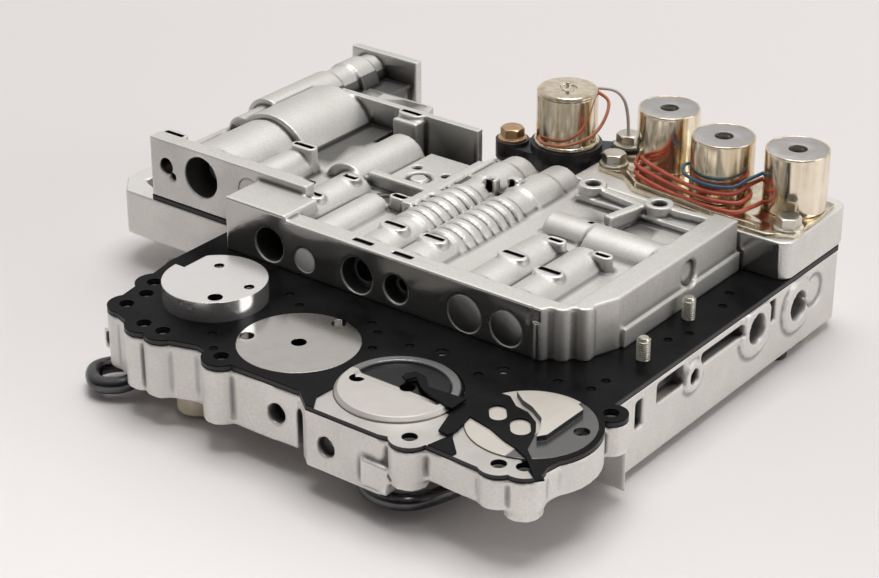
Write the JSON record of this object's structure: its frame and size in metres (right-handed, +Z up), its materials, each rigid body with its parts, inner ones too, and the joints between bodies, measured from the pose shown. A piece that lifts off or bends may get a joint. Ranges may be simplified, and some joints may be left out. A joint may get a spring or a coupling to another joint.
{
  "type": "transmission valve body",
  "caption": "Hydraulic control unit of an automatic gearbox: aluminium castings round a separator plate, with spool valves, accumulators, solenoids and oil tubes.",
  "frame": {"origin": "centre of the bounding box, on the surface the lower screw heads stand on", "axes": "+Z up out of the separator plate, +Y from the accumulator covers to the solenoids, +X from the manual valve to the two studs"},
  "size_m": [0.3238, 0.2675, 0.095],
  "materials": {
    "casting": "as cast",
    "gasket": "semi-gloss",
    "plate_steel": "smooth",
    "cover_steel": "smooth",
    "piston": "machined",
    "spring": "drawn wire",
    "valve": "ground",
    "plug": "machined",
    "zinc": "yellow zinc plated",
    "end_cap": "satin",
    "plunger": "ground",
    "black_plastic": "moulded",
    "fastener": "zinc plated",
    "brass_bolt": "yellow zinc plated",
    "red_insulation": "smooth",
    "blue_insulation": "smooth",
    "orange_insulation": "smooth",
    "white_insulation": "smooth",
    "tube": "oiled",
    "cream_can": "moulded",
    "seal": "smooth"
  },
  "bodies": {
    "valve_body": {"lower_body": "casting", "lower_gasket": "gasket", "separator_plate": "plate_steel", "upper_gasket": "gasket", "upper_body": "casting", "solenoid_block": "casting", "accumulator_cap": "cover_steel", "accumulator_cover_left": "cover_steel", "accumulator_cover_middle": "cover_steel", "accumulator_cover_right": "cover_steel", "accumulator_spring_1": "spring", "accumulator_spring_2": "spring", "accumulator_spring_3": "spring", "accumulator_spring_4": "spring", "valve_spring_1": "spring", "valve_spring_2": "spring", "valve_spring_3": "spring", "valve_spring_4": "spring", "valve_spring_5": "spring", "deep_plug": "plug", "hollow_plugs": "plug", "flush_plugs": "plug", "blank_plugs": "plug", "keeper_plates": "plug", "shift_solenoid_1": "zinc", "shift_solenoid_2": "zinc", "shift_solenoid_3": "zinc", "solenoid_end_caps": "end_cap", "line_solenoid_base": "black_plastic", "line_solenoid_can": "zinc", "line_solenoid_cap": "zinc", "line_solenoid_pin": "fastener", "solenoid_bracket": "zinc", "bracket_bolts": "fastener", "base_bolt": "brass_bolt", "through_bolts": "fastener", "case_screws": "fastener", "red_leads": "red_insulation", "blue_lead": "blue_insulation", "orange_lead": "orange_insulation", "white_lead": "white_insulation", "side_tube": "tube", "bend_tube": "tube", "front_tube": "tube", "lower_solenoid": "cream_can", "seal_sleeve": "seal", "eyelet_strap": "gasket"},
    "spool_1": {"spool_valve_1": "valve"},
    "spool_2": {"spool_valve_2": "valve"},
    "spool_3": {"spool_valve_3": "valve"},
    "spool_4": {"spool_valve_4": "valve"},
    "spool_5": {"spool_valve_5": "valve"},
    "manual_spool": {"manual_valve": "valve"},
    "piston_1": {"accumulator_piston_1": "piston"},
    "piston_2": {"accumulator_piston_2": "piston"},
    "piston_3": {"accumulator_piston_3": "piston"},
    "piston_4": {"accumulator_piston_4": "piston"},
    "armature_1": {"plunger_1": "plunger"},
    "armature_2": {"plunger_2": "plunger"},
    "armature_3": {"plunger_3": "plunger"}
  },
  "joints": [
    {"name": "spool_1_slide", "type": "slide", "parent": "valve_body", "child": "spool_1", "axis": [0, -1, 0], "range_m": [0, 0.005], "stiffness_N_per_m": 800, "springref_m": -0.006, "deforming": ["valve_spring_1"]},
    {"name": "spool_2_slide", "type": "slide", "parent": "valve_body", "child": "spool_2", "axis": [0, -1, 0], "range_m": [0, 0.005], "stiffness_N_per_m": 800, "springref_m": -0.006, "deforming": ["valve_spring_2"]},
    {"name": "spool_3_slide", "type": "slide", "parent": "valve_body", "child": "spool_3", "axis": [0, -1, 0], "range_m": [0, 0.005], "stiffness_N_per_m": 800, "springref_m": -0.006, "deforming": ["valve_spring_3"]},
    {"name": "spool_4_slide", "type": "slide", "parent": "valve_body", "child": "spool_4", "axis": [0, -1, 0], "range_m": [0, 0.005], "stiffness_N_per_m": 800, "springref_m": -0.006, "deforming": ["valve_spring_4"]},
    {"name": "spool_5_slide", "type": "slide", "parent": "valve_body", "child": "spool_5", "axis": [0, -1, 0], "range_m": [0, 0.005], "stiffness_N_per_m": 800, "springref_m": -0.006, "deforming": ["valve_spring_5"]},
    {"name": "manual_slide", "type": "slide", "parent": "valve_body", "child": "manual_spool", "axis": [0, 1, 0], "range_m": [-0.01, 0.014]},
    {"name": "piston_1_slide", "type": "slide", "parent": "valve_body", "child": "piston_1", "axis": [0, 0, -1], "range_m": [0, 0.004], "stiffness_N_per_m": 3000, "springref_m": -0.003, "deforming": ["accumulator_spring_1"]},
    {"name": "piston_2_slide", "type": "slide", "parent": "valve_body", "child": "piston_2", "axis": [0, 0, -1], "range_m": [0, 0.004], "stiffness_N_per_m": 3000, "springref_m": -0.003, "deforming": ["accumulator_spring_2"]},
    {"name": "piston_3_slide", "type": "slide", "parent": "valve_body", "child": "piston_3", "axis": [0, 0, -1], "range_m": [0, 0.004], "stiffness_N_per_m": 3000, "springref_m": -0.003, "deforming": ["accumulator_spring_3"]},
    {"name": "piston_4_slide", "type": "slide", "parent": "valve_body", "child": "piston_4", "axis": [0, 0, -1], "range_m": [0, 0.004], "stiffness_N_per_m": 3000, "springref_m": -0.003, "deforming": ["accumulator_spring_4"]},
    {"name": "armature_1_slide", "type": "slide", "parent": "valve_body", "child": "armature_1", "axis": [0, 0, 1], "range_m": [0, 0.0015]},
    {"name": "armature_2_slide", "type": "slide", "parent": "valve_body", "child": "armature_2", "axis": [0, 0, 1], "range_m": [0, 0.0015]},
    {"name": "armature_3_slide", "type": "slide", "parent": "valve_body", "child": "armature_3", "axis": [0, 0, 1], "range_m": [0, 0.0015]}
  ]
}
